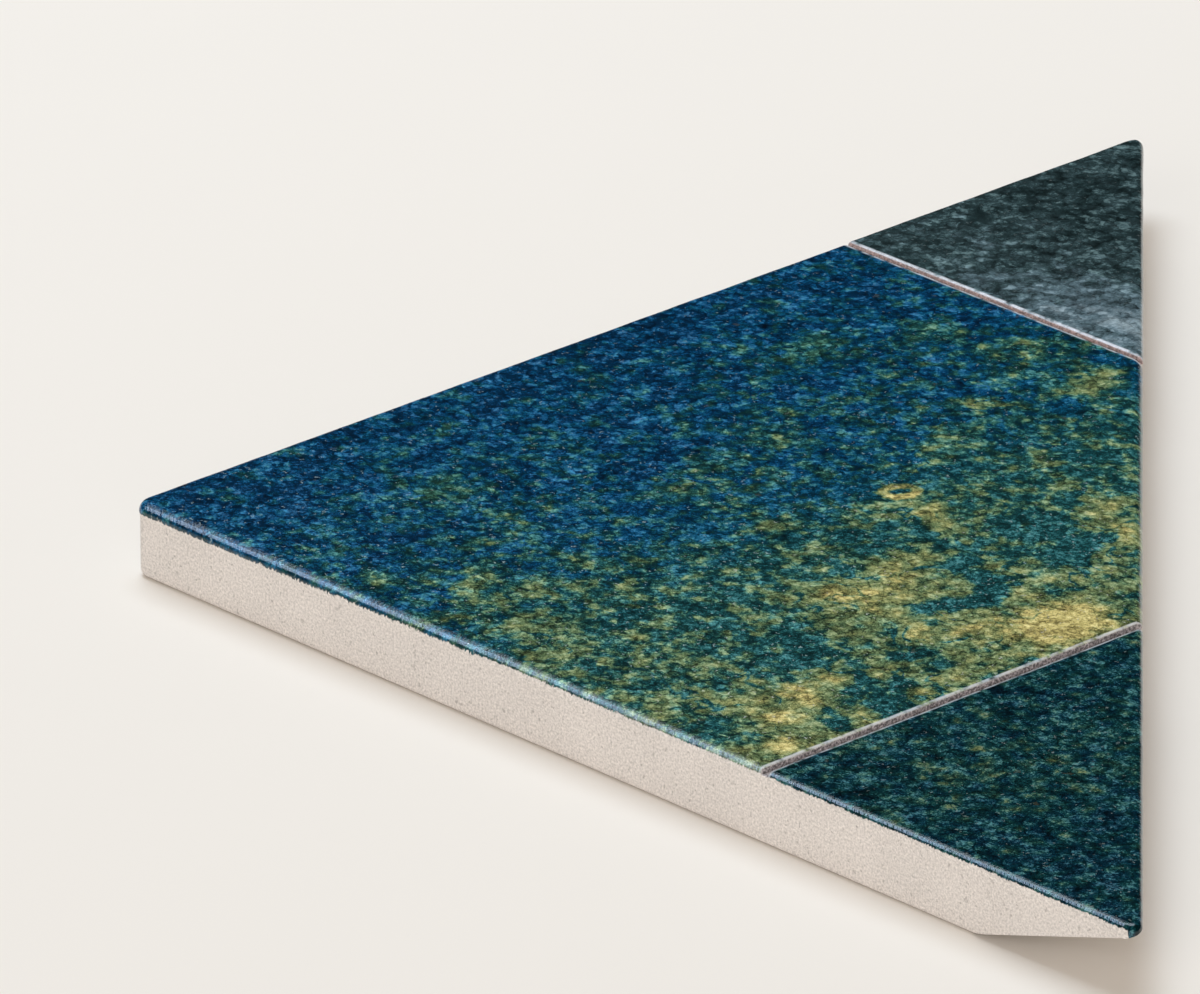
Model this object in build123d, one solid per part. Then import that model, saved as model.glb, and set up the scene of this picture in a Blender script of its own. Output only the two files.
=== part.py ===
"""Pool step tile: a three-cornered glazed tread for a corner step, pressed and fired as one piece.

Two equal legs meet at a right angle, and the long side between them is the nose of the step.
The glazed face is scored into three fields by two joints that run parallel to the legs.
The nose is mitred from below, so that the tile of the riser can tuck under its glazed lip.
The back is flat, with shallow crossed channels that key into the mortar.

Frame: the tile lies on its back, face up along +Z. The front leg runs along +X and the back leg
along +Y from the square corner. The origin is the centre of the bounding box, on the floor.
"""

import math
import os

from build123d import *

# Driving dimensions, in millimetres
leg_length = 108.7  # each leg, to where it would meet the long side in a sharp point
thickness = 6.0  # back to glazed face
square_radius = 1.5  # upright square corner, seen in plan
tip_radius = 0.8  # upright corners at both ends of the long side
edge_radius = 0.7  # glazed edge round the face
foot_radius = 0.6  # edge round the back

front_joint = 69.5  # square corner to the middle of the joint that crosses the front leg
front_joint_width = 0.9
back_joint = 75.6  # square corner to the middle of the joint that crosses the back leg
back_joint_width = 0.5
joint_depth = 0.4
joint_lip_radius = 0.3  # rounded glaze along both sides of a joint
lip_turn = math.radians(75)  # how far that rounding turns before it runs out into the face

nose_height = 0.5  # thin lip that the mitre leaves under the face
mitre_width = 12.5  # level width of the mitre, square to the long side

land_width = 5.0  # plain border of the back
channel_width = 3.0
channel_pitch = 10.0
channel_depth = 0.5

# Sizes that follow from them
foot_leg = leg_length - mitre_width * math.sqrt(2)  # legs of the back, where the mitre starts
overrun = leg_length / 10  # how far a cutting tool runs past the tile


def right_triangle(leg, inset=0.0):
    """Face of a right triangle with its square corner at the origin, all sides moved in by inset."""
    near = inset
    far = leg - inset * (1 + math.sqrt(2))
    return make_face(Polyline((near, near), (far, near), (near, far), close=True))


def pressed_blank():
    """The tile as it leaves the press: a triangular slab with every outer edge rounded."""
    slab = extrude(right_triangle(leg_length), thickness)
    outwards = Axis((0, 0, 0), (1, 1, 0))
    square_corner = slab.edges().filter_by(Axis.Z).sort_by(outwards)[0]
    slab = fillet(square_corner, square_radius)
    tips = slab.edges().filter_by(Axis.Z).sort_by(outwards)[-2:]
    slab = fillet(tips, tip_radius)
    face_rim = slab.faces().sort_by(Axis.Z)[-1].edges()
    slab = fillet(face_rim, edge_radius)
    back_rim = slab.faces().sort_by(Axis.Z)[0].edges()
    return fillet(back_rim, foot_radius)


def mitre_cutter():
    """Wedge that undercuts the long side, from the foot line on the back up to the nose lip."""
    middle = leg_length / 2
    across = Plane(origin=(middle, middle, 0), x_dir=(1, 1, 0), z_dir=(1, -1, 0))
    slope = (thickness - nose_height) / mitre_width
    section = make_face(
        Polyline(
            (-mitre_width, 0),
            (overrun, (mitre_width + overrun) * slope),
            (overrun, -overrun),
            (-mitre_width, -overrun),
            close=True,
        )
    )
    return extrude(across * section, leg_length, both=True)


def joint_section(width):
    """Section of a scored joint, measured across it and down from the face, with rounded shoulders."""
    half = width / 2
    shoulder_depth = joint_lip_radius * math.sin(lip_turn)
    shoulder_width = joint_lip_radius * (1 - math.cos(lip_turn))
    middle_depth = shoulder_depth - joint_lip_radius * math.sin(lip_turn / 2)
    middle_width = joint_lip_radius * (1 - math.cos(lip_turn / 2))
    rise = overrun * math.cos(lip_turn)
    spread = overrun * math.sin(lip_turn)
    outline = [
        Line((-half, joint_depth), (half, joint_depth)),
        Line((-half - shoulder_width - spread, -rise), (half + shoulder_width + spread, -rise)),
    ]
    for side in (-1, 1):
        wall_foot = (side * half, joint_depth)
        wall_head = (side * half, shoulder_depth)
        bend = (side * (half + middle_width), middle_depth)
        at_face = (side * (half + shoulder_width), 0)
        above_face = (side * (half + shoulder_width + spread), -rise)
        outline.append(Line(wall_foot, wall_head))
        outline.append(ThreePointArc(wall_head, bend, at_face))
        outline.append(Line(at_face, above_face))
    return make_face(outline)


def joint_cutters():
    """The two scores, one across each leg, both running out through the long side."""
    length = leg_length + 2 * overrun
    across_front = Plane(origin=(front_joint, -overrun, thickness), x_dir=(1, 0, 0), z_dir=(0, 1, 0))
    across_back = Plane(origin=(-overrun, back_joint, thickness), x_dir=(0, -1, 0), z_dir=(1, 0, 0))
    front_cutter = extrude(across_front * joint_section(front_joint_width), length)
    back_cutter = extrude(across_back * joint_section(back_joint_width), length)
    return [front_cutter, back_cutter]


def key_channels():
    """Crossed channels in the back, kept inside its plain border."""
    reach = foot_leg
    count = math.floor((reach - 2 * land_width) / channel_pitch)
    stock = []
    for step in range(count):
        offset = land_width + channel_pitch / 2 + step * channel_pitch
        stock.append(Pos(offset, reach / 2) * Rectangle(channel_width, reach))
        stock.append(Pos(reach / 2, offset) * Rectangle(reach, channel_width))
    crossed = Sketch() + stock
    return extrude(crossed & right_triangle(foot_leg, land_width), channel_depth)


def step_tile():
    """The whole tile, with its square corner moved so that the origin is under its middle."""
    tile = pressed_blank() - mitre_cutter()
    tile = tile - joint_cutters()
    tile = tile - key_channels()
    middle = tile.bounding_box().center()
    return Pos(-middle.X, -middle.Y, 0) * tile


os.makedirs("parts", exist_ok=True)
export_step(step_tile(), "parts/step_tile.step")
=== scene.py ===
"""Pool step tile: a bare clay body under three glazed fields, lying on a pale floor."""

import math

import bmesh
import bpy
from bpy.props import FloatProperty, FloatVectorProperty, PointerProperty
from mathutils import Matrix, Vector, noise


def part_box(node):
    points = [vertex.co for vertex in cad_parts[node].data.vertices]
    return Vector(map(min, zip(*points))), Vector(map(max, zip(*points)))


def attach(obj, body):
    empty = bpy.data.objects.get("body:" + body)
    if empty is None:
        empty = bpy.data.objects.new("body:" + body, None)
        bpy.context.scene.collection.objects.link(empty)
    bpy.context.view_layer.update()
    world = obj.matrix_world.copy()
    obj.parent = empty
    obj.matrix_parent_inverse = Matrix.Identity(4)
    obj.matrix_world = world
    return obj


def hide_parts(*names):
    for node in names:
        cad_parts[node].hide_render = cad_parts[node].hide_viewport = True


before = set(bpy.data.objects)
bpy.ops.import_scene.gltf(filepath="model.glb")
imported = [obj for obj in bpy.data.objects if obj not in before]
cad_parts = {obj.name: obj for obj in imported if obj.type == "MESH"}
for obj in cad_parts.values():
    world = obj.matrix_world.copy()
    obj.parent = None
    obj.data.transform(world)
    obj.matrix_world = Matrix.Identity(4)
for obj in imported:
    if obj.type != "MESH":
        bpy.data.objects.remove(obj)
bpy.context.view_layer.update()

bl_info = {
    "name": "Pool step tile",
    "version": (1, 0, 0),
    "blender": (4, 5, 0),
    "location": "View3D > Sidebar > Step tile",
    "description": "Dresses the triangular pool step tile: clay body, glazed fields and stage",
    "category": "Object",
}

MM = 0.001
BODY = "root"
NODE = "step_tile"
PICTURE_WIDTH = 1200

NODE_LOW, NODE_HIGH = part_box(NODE)
CORNER = Vector((NODE_LOW.x, NODE_LOW.y, 0.0))  # square corner of the tile, on the floor
FACE_HEIGHT = NODE_HIGH.z


def paint(red, green, blue):
    """Linear colour of a display colour given in steps of 0 to 255."""
    channels = []
    for step in (red, green, blue):
        share = step / 255
        channels.append(share / 12.92 if share <= 0.04045 else ((share + 0.055) / 1.055) ** 2.4)
    return tuple(channels)


def length(name, description, default):
    """Property for a length in metres."""
    return FloatProperty(
        name=name, description=description, default=default, unit="LENGTH", precision=6
    )


def colour(name, description, default):
    """Property for a colour of the finish."""
    return FloatVectorProperty(
        name=name, description=description, default=default, subtype="COLOR", min=0, max=1
    )


# Settings

class TileSizes(bpy.types.PropertyGroup):
    """Sizes of the tile that the glaze follows, and of the glaze itself."""

    leg: length("Leg", "Each leg, to the sharp point that its tip was rounded from", 108.7 * MM)
    front_joint: length("Front joint", "Square corner to the joint across the front leg", 69.5 * MM)
    back_joint: length("Back joint", "Square corner to the joint across the back leg", 75.6 * MM)
    front_gap: length("Front gap", "Middle of the front joint to the glaze beside it", 0.35 * MM)
    back_gap: length("Back gap", "Middle of the back joint to the glaze beside it", 0.27 * MM)
    joint_depth: length("Joint depth", "Depth of the score below the bare face", 0.4 * MM)
    nose: length("Nose", "Height of the lip that the mitre leaves along the long side", 0.5 * MM)
    mitre: length("Mitre", "Level width of the mitre, square to the long side", 12.5 * MM)
    coat: length("Coat", "Thickness of the glaze over the clay", 0.1 * MM)
    square_radius: length("Square radius", "Glaze round the upright square corner", 1.6 * MM)
    tip_radius: length("Tip radius", "Glaze round the ends of the long side", 0.9 * MM)
    rim_radius: length("Rim radius", "Rounded glaze along the outer edges", 0.8 * MM)
    lip_radius: length("Lip radius", "Rounded glaze along the joints", 0.22 * MM)
    skirt: length("Skirt", "How far the glaze reaches down the sides", 1.2 * MM)
    lip_skirt: length("Lip skirt", "How far the glaze runs down into a joint", 0.48 * MM)
    net: length("Net", "Spacing of the net that carries the ripples of the glaze", 0.36 * MM)


class TileColours(bpy.types.PropertyGroup):
    """Colours of the clay and of the floor."""

    clay: colour("Clay", "Bare clay of the sides and the back", paint(225, 219, 214))
    front_joint_clay: colour("Front joint", "Greyed clay in the front joint", paint(164, 158, 160))
    back_joint_clay: colour("Back joint", "Pinkish clay in the back joint", paint(184, 163, 160))
    floor: colour("Floor", "Pale floor", paint(242, 238, 232))


# Shader helpers

VECTOR, VALUE, COLOUR = "NodeSocketVector", "NodeSocketFloat", "NodeSocketColor"
IN_PLAN = (1.0, 1.0, 0.0)  # drops the height of a place


class Wiring:
    """Shorthand for adding nodes to one tree and joining their sockets."""

    def __init__(self, tree):
        self.tree = tree

    def plug(self, value, socket):
        """Join a socket to another, or set its value."""
        if isinstance(value, bpy.types.NodeSocket):
            self.tree.links.new(value, socket)
        elif socket.type == "RGBA" and len(value) == 3:
            socket.default_value = (*value, 1.0)
        else:
            socket.default_value = value

    def add(self, kind, inputs=None, **settings):
        """A node with its settings, and its inputs by name or number."""
        node = self.tree.nodes.new(kind)
        for name, value in settings.items():
            setattr(node, name, value)
        for key, value in (inputs or {}).items():
            self.plug(value, node.inputs[key])
        return node

    def math(self, operation, first, second=0.0, third=0.0):
        """Result of an operation on up to three values."""
        inputs = {0: first, 1: second, 2: third}
        return self.add("ShaderNodeMath", inputs, operation=operation).outputs[0]

    def times(self, first, second):
        """Product of two values."""
        return self.math("MULTIPLY", first, second)

    def vector(self, operation, first, second):
        """Result of an operation on two vectors."""
        node = self.add("ShaderNodeVectorMath", {0: first, 1: second}, operation=operation)
        return node.outputs["Value" if operation in ("DISTANCE", "DOT_PRODUCT") else "Vector"]

    def scaled(self, vector, factor):
        """A vector times a factor."""
        node = self.add("ShaderNodeVectorMath", {0: vector, "Scale": factor}, operation="SCALE")
        return node.outputs["Vector"]

    def spread(self, value, low, high, to_low=0.0, to_high=1.0, smooth=True):
        """Value between low and high brought to another range."""
        inputs = {
            "Value": value,
            "From Min": low,
            "From Max": high,
            "To Min": to_low,
            "To Max": to_high,
        }
        kind = "SMOOTHSTEP" if smooth else "LINEAR"
        return self.add("ShaderNodeMapRange", inputs, interpolation_type=kind).outputs["Result"]

    def mix(self, factor, first, second, blend="MIX"):
        """Two colours blended by a factor."""
        inputs = {0: factor, 6: first, 7: second}  # by number: the node has sockets of one name
        node = self.add("ShaderNodeMix", inputs, data_type="RGBA", blend_type=blend)
        return node.outputs[2]

    def noise_outputs(self, vector, size, detail=2.0, roughness=0.5, distortion=0.0):
        """Outputs of a noise with blotches about size across, in the units of the vector."""
        inputs = {
            "Vector": vector,
            "Scale": 1.0 / size,
            "Detail": detail,
            "Roughness": roughness,
            "Distortion": distortion,
        }
        return self.add("ShaderNodeTexNoise", inputs).outputs

    def cloud(self, vector, size, **kind):
        """Noise as a value about 0.5."""
        return self.noise_outputs(vector, size, **kind)["Fac"]

    def swirl(self, vector, size, **kind):
        """Noise as a vector about nothing."""
        chance = self.noise_outputs(vector, size, **kind)["Color"]
        return self.vector("SUBTRACT", chance, (0.5, 0.5, 0.5))

    def cells(self, vector, size):
        """Flat cells of about a size across, each with its own chance colour."""
        inputs = {"Vector": vector, "Scale": 1.0 / size, "Randomness": 1.0}
        return self.add("ShaderNodeTexVoronoi", inputs, voronoi_dimensions="2D").outputs

    def channels(self, colour):
        """Red, green and blue of a colour."""
        return self.add("ShaderNodeSeparateColor", {"Color": colour}).outputs

    def weighed(self, *parts):
        """Sum of (value, weight) parts."""
        total = 0.0
        for value, weight in parts:
            total = self.math("MULTIPLY_ADD", value, weight, total)
        return total

    def ramp(self, factor, stops):
        """Colour band through (position, colour) stops."""
        node = self.add("ShaderNodeValToRGB", {"Fac": factor})
        band = node.color_ramp.elements
        while len(band) < len(stops):
            band.new(1.0)
        for element, (position, value) in zip(band, stops):
            element.position = position
            element.color = (*value, 1.0)
        return node.outputs["Color"]

    def grey(self, value):
        """Grey colour of a value."""
        inputs = {"Red": value, "Green": value, "Blue": value}
        return self.add("ShaderNodeCombineColor", inputs).outputs["Color"]

    def group(self, tree, inputs):
        """Outputs of a shared node group with these inputs."""
        return self.add("ShaderNodeGroup", inputs, node_tree=tree).outputs

    def mark(self, name):
        """Value that the piece's own mesh carries under a name."""
        return self.add("ShaderNodeAttribute", attribute_name=name).outputs["Fac"]

    def corner_place(self):
        """Place on the tile in millimetres from its square corner."""
        coordinates = self.add("ShaderNodeTexCoord").outputs["Object"]
        shift = -CORNER / MM
        inputs = {"Vector": coordinates, "Location": shift, "Scale": (1 / MM, 1 / MM, 1 / MM)}
        return self.add("ShaderNodeMapping", inputs).outputs["Vector"]


def new_material(name):
    """Empty material with a Principled shader, as (material, wiring, shader)."""
    material = bpy.data.materials.new(name)
    material.use_nodes = True
    wiring = Wiring(material.node_tree)
    shader = material.node_tree.nodes["Principled BSDF"]
    return material, wiring, shader


def node_group(name, inputs, outputs):
    """Empty shader group, as (group, wiring, input sockets, output node)."""
    group = bpy.data.node_groups.new(name, "ShaderNodeTree")
    for title, kind in inputs.items():
        group.interface.new_socket(title, in_out="INPUT", socket_type=kind)
    for title, kind in outputs.items():
        group.interface.new_socket(title, in_out="OUTPUT", socket_type=kind)
    wiring = Wiring(group)
    return group, wiring, wiring.add("NodeGroupInput").outputs, wiring.add("NodeGroupOutput")


# Shared node groups

TONE_MIDDLE, HUE_MIDDLE = 0.305, 0.96  # means of the flecks, taken off to bring them to 0
RUST_CHANCE = 0.001  # share of the grains that are rusty
SPARK_FROM = 0.965  # a dot is a spark, partly a crystal and partly a painted highlight, above this chance value


def stirred_group():
    """Group that stirs a place, so that a round bloom gets a ragged shore."""
    group, wiring, given, out = node_group("stirred_place", {"Place": VECTOR}, {"Place": VECTOR})
    place = given["Place"]
    for size, pull in ((7.0, 7.0), (2.2, 2.4), (0.8, 0.6)):
        push = wiring.scaled(wiring.swirl(given["Place"], size), pull)
        place = wiring.vector("ADD", place, push)
    wiring.plug(wiring.vector("MULTIPLY", place, IN_PLAN), out.inputs["Place"])
    return group


def bloom_group():
    """Group for one soft round bloom: full in its middle, nothing past its radius."""
    group, wiring, given, out = node_group(
        "glaze_bloom",
        {"Place": VECTOR, "Middle": VECTOR, "Radius": VALUE, "Strength": VALUE, "Sum": VALUE},
        {"Sum": VALUE},
    )
    away = wiring.vector("DISTANCE", given["Place"], given["Middle"])
    share = wiring.spread(wiring.math("DIVIDE", away, given["Radius"]), 1.0, 0.0)
    amount = wiring.times(share, given["Strength"])
    wiring.plug(wiring.math("ADD", amount, given["Sum"]), out.inputs["Sum"])
    return group


def fleck_group():
    """Group for the dabs of a reactive glaze: tone and hue about 0, rust, sparks and relief."""
    group, wiring, given, out = node_group(
        "glaze_flecks",
        {"Place": VECTOR, "Size": VALUE, "Grain": VALUE},
        {"Tone": VALUE, "Hue": VALUE, "Rust": VALUE, "Spark": VALUE, "Relief": VALUE},
    )
    spot = wiring.scaled(given["Place"], wiring.math("DIVIDE", 1.0, given["Size"]))
    bent = wiring.vector("ADD", spot, wiring.scaled(wiring.swirl(spot, 0.8, detail=3.0), 1.2))
    dabs = wiring.cells(bent, 0.9)
    dab = wiring.channels(dabs["Color"])
    grains = wiring.cells(wiring.vector("ADD", bent, (13.0, 7.0, 0.0)), 0.40)
    grain = wiring.channels(grains["Color"])
    mist = wiring.cloud(spot, 0.28, detail=3.0, roughness=0.8)
    mist = wiring.spread(mist, 0.25, 0.75, -0.5, 0.5, smooth=False)
    dust = wiring.cloud(spot, 0.13, detail=1.0)
    dust = wiring.spread(dust, 0.25, 0.75, -0.4, 0.4, smooth=False)
    fine = wiring.times(wiring.math("ADD", mist, dust), given["Grain"])
    patch = wiring.cloud(spot, 3.2)
    tone = wiring.weighed(
        (dab["Red"], 0.29),
        (dabs["Distance"], -0.29),
        (grain["Red"], 0.25),
        (grains["Distance"], -0.22),
        (fine, 0.42),
        (patch, 0.5),
    )
    wiring.plug(wiring.math("SUBTRACT", tone, TONE_MIDDLE), out.inputs["Tone"])
    blush = wiring.cloud(wiring.vector("ADD", spot, (31.0, 17.0, 0.0)), 1.3, roughness=0.45)
    hue = wiring.weighed((blush, 1.7), (dab["Green"], 0.22))
    wiring.plug(wiring.math("SUBTRACT", hue, HUE_MIDDLE), out.inputs["Hue"])
    wiring.plug(wiring.math("LESS_THAN", grain["Blue"], RUST_CHANCE), out.inputs["Rust"])
    # Sparks: rare pale dots in the colour, partly crystals in the glaze and partly painted
    # highlights
    shake = wiring.scaled(wiring.noise_outputs(spot, 0.15, detail=1.0)["Color"], 0.4)
    dots = wiring.cells(wiring.vector("ADD", bent, shake), 0.26)
    lucky = wiring.math("GREATER_THAN", wiring.channels(dots["Color"])["Red"], SPARK_FROM)
    spark = wiring.times(lucky, wiring.spread(dots["Distance"], 0.40, 0.15))
    wiring.plug(spark, out.inputs["Spark"])
    wiring.plug(wiring.weighed((mist, 0.6), (grains["Distance"], -0.5)), out.inputs["Relief"])
    return group


def clay_group():
    """Group for fired clay: sandy colour, and the height of its grains and pits."""
    group, wiring, given, out = node_group(
        "sandy_clay",
        {"Place": VECTOR, "Clay": COLOUR, "Grit": VALUE},
        {"Color": COLOUR, "Height": VALUE},
    )
    grain = wiring.cloud(given["Place"], 0.20, roughness=0.75)
    drift = wiring.cloud(given["Place"], 6.0)
    pit_place = wiring.vector("ADD", given["Place"], (11.0, 7.0, 3.0))
    pit = wiring.spread(wiring.cloud(pit_place, 0.42, detail=1.0, distortion=0.3), 0.66, 0.76)
    light = wiring.math("MULTIPLY_ADD", wiring.math("SUBTRACT", grain, 0.5), given["Grit"], 0.98)
    light = wiring.times(light, wiring.spread(drift, 0.3, 0.7, 0.97, 1.03, smooth=False))
    light = wiring.math("SUBTRACT", light, wiring.times(pit, 0.22))
    light = wiring.math("MAXIMUM", light, 0.4)
    sandy = wiring.mix(1.0, given["Clay"], wiring.grey(light), "MULTIPLY")
    wiring.plug(sandy, out.inputs["Color"])
    wiring.plug(wiring.math("SUBTRACT", grain, pit), out.inputs["Height"])
    return group


def shared_groups():
    """The node groups that the materials share, each made once."""
    makers = {
        "stirred_place": stirred_group,
        "glaze_bloom": bloom_group,
        "glaze_flecks": fleck_group,
        "sandy_clay": clay_group,
    }
    return {name: bpy.data.node_groups.get(name) or make() for name, make in makers.items()}


# Materials

PLAIN_GRIT = 1.3  # contrast of the clay's grains outside the joints
JOINT_GRIT = {"front": 5.0, "back": 1.6}  # how much it grows in each joint
RELIEF = 0.05 * MM  # height of the bumps in the glaze and the clay
TO_FRONT = (0.73, -0.69, 0.0)  # in plan, from the end of the back leg to the end of the front leg
RUST = paint(80, 73, 52)
# Pale tint of the sparks: partly crystals in the glaze, partly painted highlights
CRYSTAL_GLINT_TINT = paint(226, 232, 230)
# Bluish white of the joints' lips: partly thin, rubbed glaze, partly a painted highlight
LIP_WEAR_AND_HIGHLIGHT = paint(230, 231, 242)
DARK_FRINGE_AND_REFLECTION = paint(32, 60, 64)  # dark ragged band where the glaze thins out, partly a painted dark reflection under the rim's highlight
RUN_OUT, JOINT_SIDE, LIP = "run_out", "joint_side", "lip"  # marks that a glaze mesh carries
SIDE_SLACK = 0.03  # from a leg's side, where a joint starts in the clay, in millimetres
SCORE_SLACK = 0.02  # below a score's floor, what still counts as the score, in millimetres

# How each field is glazed, with lengths and places in millimetres from the square corner.
# Warmth runs along the field's colour band from 0, its cold end, to 1. It is "start" at the back
# leg, grows by "along" for each millimetre from there, and stays between "coolest" and "warmest",
# each given as two places across the field and the limit at both. "blooms", with ragged shores,
# and "pools", with crisper ones, are (middle, radius, strength). A strength above 0 warms the
# glaze, and one below 0 cools it. "rings" are (middle, radius), "clouds" are (size, swing), "veins"
# is how far the veins cool the glaze, and "hue_swing" how far a fleck changes it. "contrast" is how
# much lighter a fleck of tone 1 is, "fleck_size" is its scale, and "pale" are the milky tints of
# light flecks where the glaze is cold and where it is warm. The shares say how much of the milk,
# the sparks (partly crystals, partly painted highlights) and the rust shows, and "joint" names the
# joint whose clay the glaze ends on.
EVEN_FIELD = {
    # what the two smaller fields have in common
    "along": 0.0,
    "coolest": (0.0, 1.0, 0.0, 0.0),
    "warmest": (0.0, 1.0, 1.0, 1.0),
    "veins": 0.12,
    "rings": [],
    "pools": [],
    "crystal_and_glint_share": 0.3,
}

FIELD_RECIPES = {
    "main": {
        # blue along the back leg, through teal and green, to olive and yellow by the front joint
        "start": 0.09,
        "along": 0.0083,
        "coolest": (20.0, 46.0, 0.0, 0.42),
        "warmest": (14.0, 36.0, 0.54, 1.0),
        "veins": 0.30,
        "rings": [((38.9, 43.7), 1.2)],
        "blooms": [
            ((67.5, 29.0), 5.0, 0.16),
            ((56.0, 31.0), 14.0, 0.16),
            ((50.0, 32.0), 8.0, 0.20),
            ((50.0, 26.0), 5.5, 0.24),
            ((53.0, 22.5), 4.0, 0.16),
            ((61.0, 29.0), 6.0, 0.16),
            ((44.7, 41.6), 4.0, 0.36),
            ((41.0, 38.5), 4.0, 0.20),
            ((56.0, 49.5), 5.0, 0.26),
            ((52.5, 54.5), 4.0, 0.22),
            ((48.0, 52.0), 6.0, 0.12),
            ((36.0, 53.0), 5.0, 0.16),
            ((31.0, 60.0), 3.0, 0.42),
            ((33.5, 70.0), 4.5, 0.34),
            ((26.0, 71.0), 6.0, 0.26),
            ((19.0, 67.0), 5.0, 0.22),
            ((37.5, 32.0), 2.5, 0.26),
            ((13.5, 58.0), 6.0, 0.26),
            ((15.0, 52.0), 4.0, 0.18),
            ((14.5, 18.5), 6.0, 0.24),
            ((6.5, 26.0), 3.5, 0.24),
            ((27.0, 33.0), 5.0, 0.22),
            ((25.0, 44.0), 5.0, 0.20),
            ((38.0, 7.0), 20.0, 0.16),
            ((30.0, 9.0), 6.0, 0.12),
            ((28.0, 22.0), 8.0, -0.10),
            ((55.5, 46.5), 5.0, -0.26),
            ((50.5, 46.5), 4.0, -0.18),
            ((46.5, 33.0), 4.0, -0.12),
            ((55.0, 17.0), 7.0, -0.20),
            ((49.0, 14.0), 5.0, -0.12),
            ((62.0, 21.5), 3.0, -0.14),
        ],
        "pools": [
            ((64.5, 36.5), 5.0, 0.34),
            ((66.5, 34.0), 5.0, 0.42),
            ((61.0, 15.0), 2.6, 0.34),
            ((62.0, 11.5), 3.2, 0.36),
            ((63.0, 7.5), 3.0, 0.34),
            ((67.0, 4.0), 2.4, 0.34),
            ((43.0, 38.5), 1.5, -0.26),
            ((46.0, 39.5), 1.5, -0.26),
            ((49.0, 38.6), 1.6, -0.28),
            ((52.0, 37.4), 2.0, -0.50),
            ((55.0, 36.8), 2.2, -0.66),
            ((57.4, 35.4), 2.3, -0.72),
            ((58.2, 33.4), 2.2, -0.72),
            ((57.4, 31.4), 2.0, -0.66),
            ((56.4, 29.6), 1.9, -0.54),
            ((62.0, 22.4), 1.5, -0.30),
            ((64.6, 22.8), 1.5, -0.30),
            ((66.8, 15.5), 3.4, -0.40),
            ((67.0, 10.0), 2.4, -0.40),
            ((65.5, 19.0), 2.0, -0.26),
        ],
        "clouds": ((5.0, 0.28), (2.2, 0.26), (1.0, 0.10)),
        "hue_swing": 0.50,
        "band": [
            (0.00, (0, 50, 84)),
            (0.12, (0, 62, 99)),
            (0.27, (4, 69, 96)),
            (0.38, (16, 69, 77)),
            (0.48, (30, 78, 75)),
            (0.55, (48, 90, 76)),
            (0.61, (84, 111, 79)),
            (0.74, (110, 127, 85)),
            (0.88, (147, 149, 94)),
            (1.00, (186, 174, 110)),
        ],
        "contrast": 50.0,
        "fleck_size": 0.85,
        "pale": ((118, 166, 170), (194, 197, 170)),
        "joint": "front",
        "pale_share": 0.48,
        "crystal_and_glint_share": 0.65,
        "rust_share": 0.4,
    },
    "far": {
        # smoky grey green, paler by the joint: partly a paler glaze, partly a painted sheen
        **EVEN_FIELD,
        "start": 0.35,
        "blooms": [
            # Pale bloom by the joint: partly a paler glaze, partly a painted sheen
            ((27.0, 78.0), 17.0, 0.42),
            ((14.0, 79.0), 8.0, 0.12),
            ((4.0, 80.0), 9.0, 0.08),
            ((7.0, 97.0), 12.0, -0.10),
        ],
        "clouds": ((6.0, 0.16), (1.8, 0.26)),
        "hue_swing": 0.22,
        "band": [
            (0.00, (20, 36, 38)),
            (0.25, (36, 54, 57)),
            (0.45, (54, 74, 78)),
            (0.70, (92, 114, 124)),
            (1.00, (150, 168, 176)),
        ],
        "contrast": 16.0,
        "fleck_size": 1.05,
        "pale": ((142, 166, 168), (172, 188, 200)),
        "joint": "back",
        "pale_share": 0.35,
        "rust_share": 0.0,
    },
    "near": {
        # deep teal with blue shadows and olive specks
        **EVEN_FIELD,
        "start": 0.39,
        "blooms": [
            ((73.0, 28.0), 12.0, -0.06),
            ((80.0, 12.0), 12.0, 0.10),
            ((98.0, 5.0), 16.0, -0.14),
        ],
        "clouds": ((6.0, 0.20), (2.0, 0.40)),
        "hue_swing": 0.60,
        "band": [
            (0.00, (0, 34, 50)),
            (0.20, (2, 46, 60)),
            (0.34, (4, 49, 57)),
            (0.50, (12, 58, 60)),
            (0.64, (34, 72, 63)),
            (0.80, (78, 92, 60)),
            (1.00, (124, 120, 76)),
        ],
        "contrast": 50.0,
        "fleck_size": 0.95,
        "pale": ((118, 154, 152), (156, 156, 112)),
        "joint": "front",
        "pale_share": 0.45,
        "rust_share": 0.4,
    },
}


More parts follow.
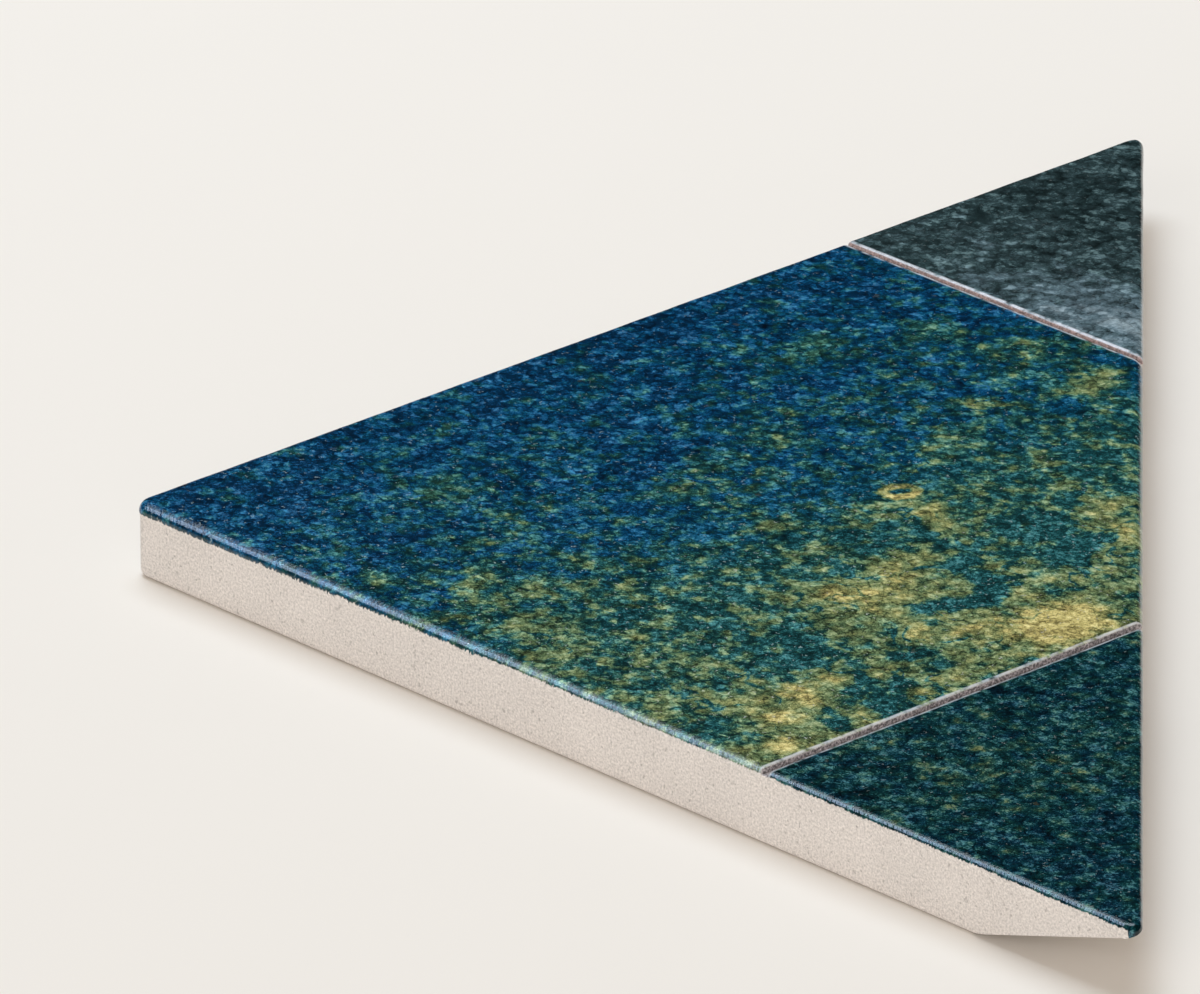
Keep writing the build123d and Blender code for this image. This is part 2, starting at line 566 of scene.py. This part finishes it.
def glaze_warmth(wiring, groups, recipe, place):
    """Warmth of the glaze at a place, and how far across the field that place is."""
    stirred = wiring.group(groups["stirred_place"], {"Place": place})["Place"]
    across = wiring.add("ShaderNodeSeparateXYZ", {"Vector": stirred}).outputs["X"]
    warmth = wiring.math("MULTIPLY_ADD", across, recipe["along"], recipe["start"])
    calmer = wiring.vector("MULTIPLY", place, IN_PLAN)
    for size, pull in ((2.2, 1.8), (0.6, 0.8)):
        push = wiring.vector("MULTIPLY", wiring.swirl(place, size), (pull, pull, 0.0))
        calmer = wiring.vector("ADD", calmer, push)
    for spots, spot_place in ((recipe["blooms"], stirred), (recipe["pools"], calmer)):
        for middle, radius, strength in spots:
            inputs = {
                "Place": spot_place,
                "Middle": (*middle, 0.0),
                "Radius": radius,
                "Strength": strength,
                "Sum": warmth,
            }
            warmth = wiring.group(groups["glaze_bloom"], inputs)["Sum"]
    for size, swing in recipe["clouds"]:
        cloud = wiring.math("SUBTRACT", wiring.cloud(place, size), 0.5)
        warmth = wiring.weighed((warmth, 1.0), (cloud, 2 * swing))
    winding = wiring.math("SUBTRACT", wiring.cloud(stirred, 5.5, distortion=0.6), 0.5)
    vein = wiring.spread(wiring.math("ABSOLUTE", winding), 0.035, 0.0)
    vein = wiring.times(vein, wiring.spread(wiring.cloud(place, 4.0), 0.44, 0.58))
    warmth = wiring.weighed((warmth, 1.0), (vein, -recipe["veins"]))
    for middle, radius in recipe["rings"]:
        away = wiring.vector("DISTANCE", calmer, (*middle, 0.0))
        off_ring = wiring.math("ABSOLUTE", wiring.math("SUBTRACT", away, radius))
        ring = wiring.spread(off_ring, 0.7 * radius, 0.2 * radius)
        eye = wiring.spread(away, 0.6 * radius, 0.2 * radius)
        warmth = wiring.weighed((warmth, 1.0), (ring, 0.46), (eye, -0.22))
    return warmth, across


def glaze_colour(wiring, groups, recipe, place, grain, flecks):
    """Colour of the whole glaze with its flecks, and the milky colour that it pales to."""
    warmth, across = glaze_warmth(wiring, groups, recipe, place)
    hue = wiring.times(flecks["Hue"], wiring.spread(warmth, 0.2, 0.7, 1.4, 0.6))
    warmth = wiring.weighed((warmth, 1.0), (hue, recipe["hue_swing"]), (flecks["Tone"], 0.15))
    warmth = wiring.math("MINIMUM", warmth, wiring.spread(across, *recipe["warmest"]))
    warmth = wiring.math("MAXIMUM", warmth, wiring.spread(across, *recipe["coolest"]))
    glaze = wiring.ramp(warmth, [(stop, paint(*value)) for stop, value in recipe["band"]])
    calm = wiring.times(flecks["Tone"], wiring.spread(warmth, 0.50, 0.80, 1.0, 0.60))
    light = wiring.math("POWER", recipe["contrast"], wiring.math("MINIMUM", flecks["Tone"], calm))
    glaze = wiring.mix(1.0, glaze, wiring.grey(light), "MULTIPLY")
    cool, warm = recipe["pale"]
    milky = wiring.mix(wiring.spread(warmth, 0.45, 0.75), paint(*cool), paint(*warm))
    pale = wiring.times(wiring.spread(flecks["Tone"], 0.10, 0.42), recipe["pale_share"])
    pale = wiring.times(pale, wiring.spread(warmth, 0.1, 0.5, 0.6, 1.0))
    glaze = wiring.mix(pale, glaze, milky)
    glaze = wiring.mix(wiring.times(flecks["Rust"], recipe["rust_share"]), glaze, RUST)
    # The sparks lighten the colour: partly crystals in the glaze, partly painted highlights
    crystal_glint = wiring.times(wiring.times(flecks["Spark"], grain), recipe["crystal_and_glint_share"])
    return wiring.mix(crystal_glint, glaze, wiring.mix(0.5, milky, CRYSTAL_GLINT_TINT)), milky


def glaze_material(name, groups, recipe):
    """Glossy reactive glaze of one field, thinning to bare clay where it runs out."""
    colours = bpy.context.scene.tile_colours
    material, wiring, shader = new_material(name)
    place = wiring.corner_place()
    forward = wiring.vector("DOT_PRODUCT", place, TO_FRONT)
    grain = wiring.spread(forward, -45.0, 30.0, 0.5, 1.2)  # the grain is crisper towards the front
    inputs = {"Place": place, "Size": recipe["fleck_size"], "Grain": grain}
    flecks = wiring.group(groups["glaze_flecks"], inputs)
    glaze, milky = glaze_colour(wiring, groups, recipe, place, grain, flecks)

    ended, joint, lip = wiring.mark(RUN_OUT), wiring.mark(JOINT_SIDE), wiring.mark(LIP)
    # The lips of the joints pale in patches: partly thin, rubbed glaze, partly a painted highlight
    wear_and_highlight_patches = wiring.spread(wiring.cloud(place, 0.9, detail=3.0), 0.26, 0.58)
    lip_wear_and_highlight_share = wiring.times(wiring.spread(lip, 0.25, 0.6), wiring.times(wear_and_highlight_patches, 0.88))
    glaze = wiring.mix(lip_wear_and_highlight_share, glaze, wiring.mix(0.7, milky, LIP_WEAR_AND_HIGHLIGHT))
    streaks = wiring.cloud(wiring.vector("MULTIPLY", place, (1.0, 1.0, 0.25)), 0.14)
    frayed = wiring.math("ADD", ended, wiring.math("SUBTRACT", streaks, 0.5))
    along = wiring.vector("DOT_PRODUCT", place, (1.0, 1.0, 0.0))
    # Dark ragged band low on the glaze's sides, weaker away from the square corner: partly where
    # the glaze thins out, partly a painted dark reflection under the rim's highlight
    dark_fringe_and_reflection_share = wiring.spread(frayed, 0.45, 0.95)
    dark_fringe_and_reflection_share = wiring.times(dark_fringe_and_reflection_share, wiring.spread(along, 15.0, 65.0, 0.75, 0.25))
    glaze = wiring.mix(dark_fringe_and_reflection_share, glaze, DARK_FRINGE_AND_REFLECTION)
    bare = wiring.math("MAXIMUM", wiring.spread(frayed, 0.95, 1.12), joint)
    joint_clay = getattr(colours, recipe["joint"] + "_joint_clay")
    ground = wiring.mix(joint, tuple(colours.clay), tuple(joint_clay))
    grit = wiring.math("MULTIPLY_ADD", joint, JOINT_GRIT[recipe["joint"]], PLAIN_GRIT)
    clay = wiring.group(groups["sandy_clay"], {"Place": place, "Clay": ground, "Grit": grit})
    wiring.plug(wiring.mix(bare, glaze, clay["Color"]), shader.inputs["Base Color"])

    gloss = wiring.spread(flecks["Tone"], -0.3, 0.3, 0.10, 0.18)
    dull = wiring.times(bare, 0.6)
    wiring.plug(wiring.math("ADD", gloss, dull), shader.inputs["Roughness"])
    along_rim = wiring.add("ShaderNodeCombineXYZ", {"X": along}).outputs["Vector"]
    on_rim = wiring.spread(ended, 0.0, 0.25)
    ticks = wiring.times(wiring.cloud(along_rim, 0.3), on_rim)
    height = wiring.weighed((flecks["Relief"], 1.0), (ticks, 4.5))
    strength = wiring.spread(on_rim, 0.0, 1.0, 0.35, 0.20)
    inputs = {"Strength": strength, "Distance": RELIEF, "Height": height}
    wiring.plug(wiring.add("ShaderNodeBump", inputs).outputs["Normal"], shader.inputs["Normal"])
    return material


def clay_material(groups, sizes):
    """Bare sandy clay, tinted and coarser in the scored joints."""
    colours = bpy.context.scene.tile_colours
    material, wiring, shader = new_material("bare_clay")
    place = wiring.corner_place()
    axes = wiring.add("ShaderNodeSeparateXYZ", {"Vector": place}).outputs
    score_floor = (FACE_HEIGHT - sizes.joint_depth) / MM
    near_face = wiring.math("GREATER_THAN", axes["Z"], score_floor - SCORE_SLACK)
    ground = tuple(colours.clay)
    grit = PLAIN_GRIT
    for joint, axis, along in (("front", "X", "Y"), ("back", "Y", "X")):
        middle, gap = getattr(sizes, joint + "_joint"), getattr(sizes, joint + "_gap")
        off = wiring.math("ABSOLUTE", wiring.math("SUBTRACT", axes[axis], middle / MM))
        inside = wiring.times(wiring.math("LESS_THAN", off, gap / MM), near_face)
        inside = wiring.times(inside, wiring.math("GREATER_THAN", axes[along], SIDE_SLACK))
        ground = wiring.mix(inside, ground, tuple(getattr(colours, joint + "_joint_clay")))
        grit = wiring.math("MULTIPLY_ADD", inside, JOINT_GRIT[joint], grit)
    clay = wiring.group(groups["sandy_clay"], {"Place": place, "Clay": ground, "Grit": grit})
    wiring.plug(clay["Color"], shader.inputs["Base Color"])
    wiring.plug(0.88, shader.inputs["Roughness"])
    wiring.plug(0.25, shader.inputs["Specular IOR Level"])
    inputs = {"Strength": 0.7, "Distance": RELIEF, "Height": clay["Height"]}
    wiring.plug(wiring.add("ShaderNodeBump", inputs).outputs["Normal"], shader.inputs["Normal"])
    return material


# Pieces

CLAY_CREASE = math.radians(35)  # faces that meet at more than this stay creased
GLAZE_CREASE = math.radians(40)
SQUARE_OPENING = math.radians(80)  # an upright corner more open than this is the square one
CORNER_SEGMENTS, RIM_SEGMENTS, LIP_SEGMENTS = 8, 7, 4
LEVEL_SLACK = 1e-6  # heights closer than this are the same, in metres
MERGE_REACH = 1e-6  # points closer than this are merged, in metres
CUT_SLACK = 2e-6  # a cut this close to a point goes through it, in metres
WALL_SLACK = 2e-5  # a point this close to a joint's wall lies on it, in metres

# Reaches on the glaze, in millimetres
WALL_REACH = 0.3  # from a joint's wall, where the foot of the glaze still rises to the joint
LIP_REACH = 0.5  # from a joint's wall, where its lip wears thin and carries a painted highlight
NOSE_REACH = 1.2  # from the long side, where the glaze wraps the nose and doesn't run out
SIDE_REACH = 0.1  # from a leg's side, where a joint starts in the glaze
BARE_FROM, BARE_FADE = 0.04, 0.08  # down a joint's wall, where the bare clay starts to show

PAST_THE_END = 2.0  # mark of a foot that lies below the end of the glaze
TUCK = 1.2  # how far a foot goes into the clay, in thicknesses of the coat

# Way along a leg from the square corner, and how far the glaze ran down there, in millimetres
RUN_DOWN = (
    (0.0, 0.98),
    (4.0, 0.84),
    (16.0, 0.76),
    (22.0, 0.64),
    (36.0, 0.60),
    (42.0, 0.48),
    (70.0, 0.38),
    (109.0, 0.38),
)


def add_object(name, data):
    """New object in the scene."""
    item = bpy.data.objects.new(name, data)
    bpy.context.scene.collection.objects.link(item)
    return item


def mesh_object(bm, name, material):
    """Object of a finished bmesh, with its material."""
    mesh = bpy.data.meshes.new(name)
    bm.to_mesh(mesh)
    bm.free()
    mesh.materials.append(material)
    return add_object(name, mesh)


def finish_piece(bm, name, material):
    """Turn a bmesh into a piece that rides with the tile."""
    piece = mesh_object(bm, name, material)
    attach(piece, BODY)
    return piece


def shade(bm, sharp_angle):
    """Smooth faces, with a crease where two faces meet at more than the sharp angle."""
    for face in bm.faces:
        face.smooth = True
    for edge in bm.edges:
        edge.smooth = edge.is_manifold and edge.calc_face_angle(0.0) < sharp_angle


def field_outlines(sizes):
    """Plan corners of each glazed field from the square corner, and its edges along the joints."""
    out = -sizes.coat
    reach = sizes.leg + sizes.coat * math.sqrt(2)  # x + y along the long side
    before_x, after_x = sizes.front_joint - sizes.front_gap, sizes.front_joint + sizes.front_gap
    before_y, after_y = sizes.back_joint - sizes.back_gap, sizes.back_joint + sizes.back_gap
    return {
        "main": {
            "corners": [
                (out, out),
                (before_x, out),
                (before_x, reach - before_x),
                (reach - before_y, before_y),
                (out, before_y),
            ],
            "joints": [(0, before_x), (1, before_y)],
        },
        "far": {
            "corners": [(out, after_y), (reach - after_y, after_y), (out, reach - out)],
            "joints": [(1, after_y)],
        },
        "near": {
            "corners": [(after_x, out), (reach - out, out), (after_x, reach - after_x)],
            "joints": [(0, after_x)],
        },
    }


def on_joint(point, joints):
    """Whether a point lies on one of a field's walls along a joint."""
    return any(abs(point[axis] - CORNER[axis] - offset) < WALL_SLACK for axis, offset in joints)


def edge_middle(edge):
    """Middle of an edge."""
    return (edge.verts[0].co + edge.verts[1].co) / 2


def glaze_block(sizes, outline):
    """Block of a field's plan, its outer corners, rim and joint lips rounded."""
    top = FACE_HEIGHT + sizes.coat
    base = top - sizes.skirt
    joints = outline["joints"]
    bm = bmesh.new()
    ring = [bm.verts.new((CORNER.x + x, CORNER.y + y, base)) for x, y in outline["corners"]]
    floor = bm.faces.new(ring)
    grown = bmesh.ops.extrude_face_region(bm, geom=[floor])["geom"]
    raised = [part for part in grown if isinstance(part, bmesh.types.BMVert)]
    bmesh.ops.translate(bm, verts=raised, vec=(0, 0, top - base))
    bmesh.ops.recalc_face_normals(bm, faces=bm.faces)

    def rounded(edges, radius, segments):
        bmesh.ops.bevel(
            bm, geom=edges, offset=radius, offset_type="OFFSET", affect="EDGES",
            segments=segments, profile=0.5, material=-1, clamp_overlap=True,
        )

    def rise(edge):
        return abs(edge.verts[0].co.z - edge.verts[1].co.z)

    for edge in [e for e in bm.edges if rise(e) > sizes.skirt / 2]:
        if on_joint(edge_middle(edge), joints):
            continue
        opening = math.pi - edge.calc_face_angle()
        radius = sizes.square_radius if opening > SQUARE_OPENING else sizes.tip_radius
        rounded([edge], radius / math.tan(opening / 2), CORNER_SEGMENTS)
    upper = [e for e in bm.edges if min(v.co.z for v in e.verts) > top - LEVEL_SLACK]
    outer = [e for e in upper if not on_joint(edge_middle(e), joints)]
    rounded(outer, sizes.rim_radius, RIM_SEGMENTS)
    walls = [
        f for f in bm.faces
        if all(on_joint(v.co, joints) for v in f.verts) and abs(f.normal.z) < 0.1
    ]
    lips = {
        e for f in walls for e in f.edges
        if max(v.co.z for v in e.verts) > base + LEVEL_SLACK
    }
    rounded(list(lips), sizes.lip_radius, LIP_SEGMENTS)
    return bm


def cut(bm, place, normal, **options):
    """Cut a whole mesh along a plane."""
    geometry = bm.verts[:] + bm.edges[:] + bm.faces[:]
    bmesh.ops.bisect_plane(
        bm, geom=geometry, dist=CUT_SLACK, plane_co=place, plane_no=normal, **options
    )


def slice_net(bm, pitch):
    """Cut the block into a fine net along both legs."""
    low = [min(v.co[axis] for v in bm.verts) for axis in (0, 1)]
    high = [max(v.co[axis] for v in bm.verts) for axis in (0, 1)]
    for axis in (0, 1):
        normal = Vector((0, 0, 0))
        normal[axis] = 1.0
        count = math.floor((high[axis] - low[axis]) / pitch)
        for step in range(1, count + 1):
            place = Vector((0, 0, 0))
            place[axis] = low[axis] + step * pitch
            cut(bm, place, normal)


def cut_nose(bm, sizes):
    """Take away the glaze below the mitre that undercuts the long side."""
    slope = (FACE_HEIGHT - sizes.nose) / sizes.mitre
    middle = CORNER + Vector((sizes.leg / 2, sizes.leg / 2, FACE_HEIGHT - sizes.nose))
    down = Vector((slope / math.sqrt(2), slope / math.sqrt(2), -1.0)).normalized()
    cut(bm, middle, down, clear_outer=True)


def waver(x, y, size, layer):
    """Smooth chance value about 0 at a place, with swells of about a size."""
    return noise.noise((x / size, y / size, layer))


def run_down(x, y):
    """How far the glaze ran down the side under a place on the rim, in millimetres."""
    way = max(x, y)
    for (start, first), (stop, second) in zip(RUN_DOWN, RUN_DOWN[1:]):
        if way <= stop:
            break
    share = max(0.0, min(1.0, (way - start) / (stop - start)))
    even = first + (second - first) * share
    return even * (1.0 + 0.12 * waver(x, y, 2.3, 0.0) + 0.16 * waver(x, y, 0.6, 4.0))


def ripple(x, y):
    """Height of the wavy glaze at a place, in millimetres."""
    return 0.030 * waver(x, y, 4.0, 9.0) + 0.012 * waver(x, y, 1.1, 2.0)


def shape_glaze(bm, sizes, outline):
    """Ripple the glaze, thin it out on the sides, and mark where it ends."""
    ended = bm.verts.layers.float.new(RUN_OUT)
    joint = bm.verts.layers.float.new(JOINT_SIDE)
    lip = bm.verts.layers.float.new(LIP)
    top = FACE_HEIGHT + sizes.coat
    base = top - sizes.skirt
    bm.normal_update()
    for vert in bm.verts:
        x, y = (vert.co.x - CORNER.x) / MM, (vert.co.y - CORNER.y) / MM
        depth = (top - vert.co.z) / MM
        to_joint = min(abs((x, y)[axis] - offset / MM) for axis, offset in outline["joints"])
        at_wall = max(0.0, 1.0 - to_joint / WALL_REACH)
        on_nose = x + y > sizes.leg / MM - NOSE_REACH
        in_joint = at_wall > 0.5 and min(x, y) > SIDE_REACH
        vert[lip] = max(0.0, 1.0 - to_joint / LIP_REACH)
        if vert.co.z > base + LEVEL_SLACK:
            vert[ended] = 0.0 if on_nose or in_joint else depth / run_down(x, y)
            vert[joint] = min(1.0, max(0.0, depth - BARE_FROM) / BARE_FADE) * in_joint
            vert.co += vert.normal * ripple(x, y) * MM
            continue
        vert[ended] = PAST_THE_END
        vert[joint] = float(in_joint)
        outwards = Vector((vert.normal.x, vert.normal.y, 0.0))
        vert.co -= outwards * sizes.coat * TUCK * (1.0 - at_wall)
        vert.co.z = top - (sizes.lip_skirt * at_wall + sizes.skirt * (1.0 - at_wall))


def glaze_piece(name, sizes, outline, material):
    """One glazed field as a closed piece over the clay."""
    bm = glaze_block(sizes, outline)
    base = FACE_HEIGHT + sizes.coat - sizes.skirt
    under = [f for f in bm.faces if max(v.co.z for v in f.verts) < base + LEVEL_SLACK]
    bmesh.ops.delete(bm, geom=under, context="FACES_ONLY")
    slice_net(bm, sizes.net)
    cut_nose(bm, sizes)
    shape_glaze(bm, sizes, outline)
    rim = [e for e in bm.edges if e.is_boundary]
    bmesh.ops.holes_fill(bm, edges=rim)
    bmesh.ops.recalc_face_normals(bm, faces=bm.faces)
    shade(bm, GLAZE_CREASE)
    return finish_piece(bm, name, material)


class STEPTILE_OT_clay_body(bpy.types.Operator):
    """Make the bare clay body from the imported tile"""

    bl_idname = "steptile.clay_body"
    bl_label = "Clay body"

    def execute(self, context):
        bm = bmesh.new()
        bm.from_mesh(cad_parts[NODE].data)
        bmesh.ops.remove_doubles(bm, verts=bm.verts, dist=MERGE_REACH)
        shade(bm, CLAY_CREASE)
        material = clay_material(shared_groups(), context.scene.tile_sizes)
        piece = finish_piece(bm, "clay_body", material)
        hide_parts(NODE)
        return {"FINISHED"}


class STEPTILE_OT_glaze_fields(bpy.types.Operator):
    """Lay the glaze over the three fields of the face"""

    bl_idname = "steptile.glaze_fields"
    bl_label = "Glazed fields"

    def execute(self, context):
        sizes = context.scene.tile_sizes
        groups = shared_groups()
        for field, outline in field_outlines(sizes).items():
            name = f"glaze_{field}_field"
            material = glaze_material(name, groups, FIELD_RECIPES[field])
            glaze_piece(name, sizes, outline, material)
        return {"FINISHED"}


# Stage

CAMERA_AZIMUTH = math.radians(-43.352)  # from +X, as seen from above
CAMERA_ELEVATION = math.radians(23.109)
CAMERA_FOCAL_PX = 17500  # long lens, in pixels of the picture
CAMERA_DISTANCE = 1334.7 * MM
CAMERA_AIM = (35.644 * MM, 5.838 * MM)  # right of and above the square corner's foot, as seen
SENSOR = 36.0
FLOOR_REACH = 4.0  # from the tile to each side of the floor
FLOOR_GAP = 0.01 * MM  # keeps the floor clear of the tile's back
WORLD_TINT = (1.0, 0.88, 0.77)
WORLD_LIGHT = 0.46  # on what scatters light
WORLD_GLOW = 0.01  # on everything


def aimed(place, right, up, back):
    """Place and turn of a camera or lamp, from the ways to its right, up and back."""
    turn = Matrix((right, up, back)).transposed().to_4x4()
    return Matrix.Translation(place) @ turn


def add_camera():
    """Camera at the picture's viewing angle."""
    flat, rise = math.cos(CAMERA_ELEVATION), math.sin(CAMERA_ELEVATION)
    ahead, aside = math.cos(CAMERA_AZIMUTH), math.sin(CAMERA_AZIMUTH)
    back = Vector((flat * ahead, flat * aside, rise))
    right = Vector((-aside, ahead, 0))
    up = back.cross(right)
    data = bpy.data.cameras.new("camera")
    data.sensor_width = SENSOR
    data.lens = SENSOR * CAMERA_FOCAL_PX / PICTURE_WIDTH
    camera = add_object("camera", data)
    place = CORNER + back * CAMERA_DISTANCE + right * CAMERA_AIM[0] + up * CAMERA_AIM[1]
    camera.matrix_world = aimed(place, right, up, back)
    bpy.context.scene.camera = camera


def add_softbox(name, place, width, height, power, tint, along=(0, 0, 1)):
    """Lamp that looks at the tile from a place, its height turned along a direction."""
    data = bpy.data.lights.new(name, "AREA")
    data.shape = "RECTANGLE"
    data.size = width
    data.size_y = height
    data.energy = power
    data.color = tint
    lamp = add_object(name, data)
    back = Vector(place).normalized()
    up = (Vector(along) - back * back.dot(Vector(along))).normalized()
    lamp.matrix_world = aimed(place, up.cross(back), up, back)
    return lamp


def add_world():
    """Soft warm light from all round, which the glossy glaze hardly mirrors."""
    world = bpy.data.worlds.new("studio")
    world.use_nodes = True
    wiring = Wiring(world.node_tree)
    background = world.node_tree.nodes["Background"]
    scattered = wiring.add("ShaderNodeLightPath").outputs["Is Diffuse Ray"]
    strength = wiring.math("MULTIPLY_ADD", scattered, WORLD_LIGHT, WORLD_GLOW)
    wiring.plug(WORLD_TINT, background.inputs["Color"])
    wiring.plug(strength, background.inputs["Strength"])
    bpy.context.scene.world = world


def floor_material():
    """Pale matt floor with a faint grain."""
    material, wiring, shader = new_material("pale_floor")
    place = wiring.add("ShaderNodeTexCoord").outputs["Object"]
    grain = wiring.cloud(place, 0.02, detail=3.0)
    base = Vector(bpy.context.scene.tile_colours.floor)
    wiring.plug(wiring.mix(grain, tuple(base * 0.99), tuple(base)), shader.inputs["Base Color"])
    wiring.plug(0.9, shader.inputs["Roughness"])
    wiring.plug(0.1, shader.inputs["Specular IOR Level"])
    return material


class STEPTILE_OT_stage(bpy.types.Operator):
    """Set up the pale floor, the soft lamps and the camera"""

    bl_idname = "steptile.stage"
    bl_label = "Stage"

    def execute(self, context):
        bm = bmesh.new()
        bmesh.ops.create_grid(bm, x_segments=1, y_segments=1, size=FLOOR_REACH)
        bmesh.ops.translate(bm, verts=bm.verts, vec=(0, 0, -FLOOR_GAP))
        floor = mesh_object(bm, "floor", floor_material())
        add_softbox(
            "key", place=(-0.42, 0.15, 0.9), width=0.7, height=0.7,
            power=6.7, tint=(0.79, 0.90, 1.0), along=(0, 1, 0),
        )
        fill = add_softbox(
            "fill", place=(0.55, -0.95, 0.35), width=1.0, height=0.8,
            power=5.0, tint=(1.0, 0.98, 0.96),
        )
        fill.visible_glossy = False
        strip = add_softbox(
            "rim_strip", place=(-0.735, -0.418, 0.675), width=0.25, height=0.70,
            power=4.8, tint=(0.66, 0.86, 1.15), along=(0, -0.305, -0.19),
        )
        strip.visible_diffuse = False
        add_world()
        context.scene.view_settings.view_transform = "Standard"
        add_camera()
        return {"FINISHED"}


class STEPTILE_PT_panel(bpy.types.Panel):
    """Steps of the pool step tile"""

    bl_idname = "STEPTILE_PT_panel"
    bl_label = "Pool step tile"
    bl_space_type = "VIEW_3D"
    bl_region_type = "UI"
    bl_category = "Step tile"

    def draw(self, context):
        for operator in OPERATORS:
            self.layout.operator(operator.bl_idname)


OPERATORS = (STEPTILE_OT_clay_body, STEPTILE_OT_glaze_fields, STEPTILE_OT_stage)
CLASSES = (TileSizes, TileColours, *OPERATORS, STEPTILE_PT_panel)


def register():
    """Add the classes, and the settings to the scene."""
    for item in CLASSES:
        bpy.utils.register_class(item)
    bpy.types.Scene.tile_sizes = PointerProperty(type=TileSizes)
    bpy.types.Scene.tile_colours = PointerProperty(type=TileColours)


def unregister():
    """Take the settings and the classes away again."""
    del bpy.types.Scene.tile_sizes
    del bpy.types.Scene.tile_colours
    for item in reversed(CLASSES):
        bpy.utils.unregister_class(item)


def main():
    """Register the add-on, and make every piece and the stage."""
    register()
    bpy.ops.steptile.clay_body()
    bpy.ops.steptile.glaze_fields()
    bpy.ops.steptile.stage()


if __name__ == "__main__":
    main()
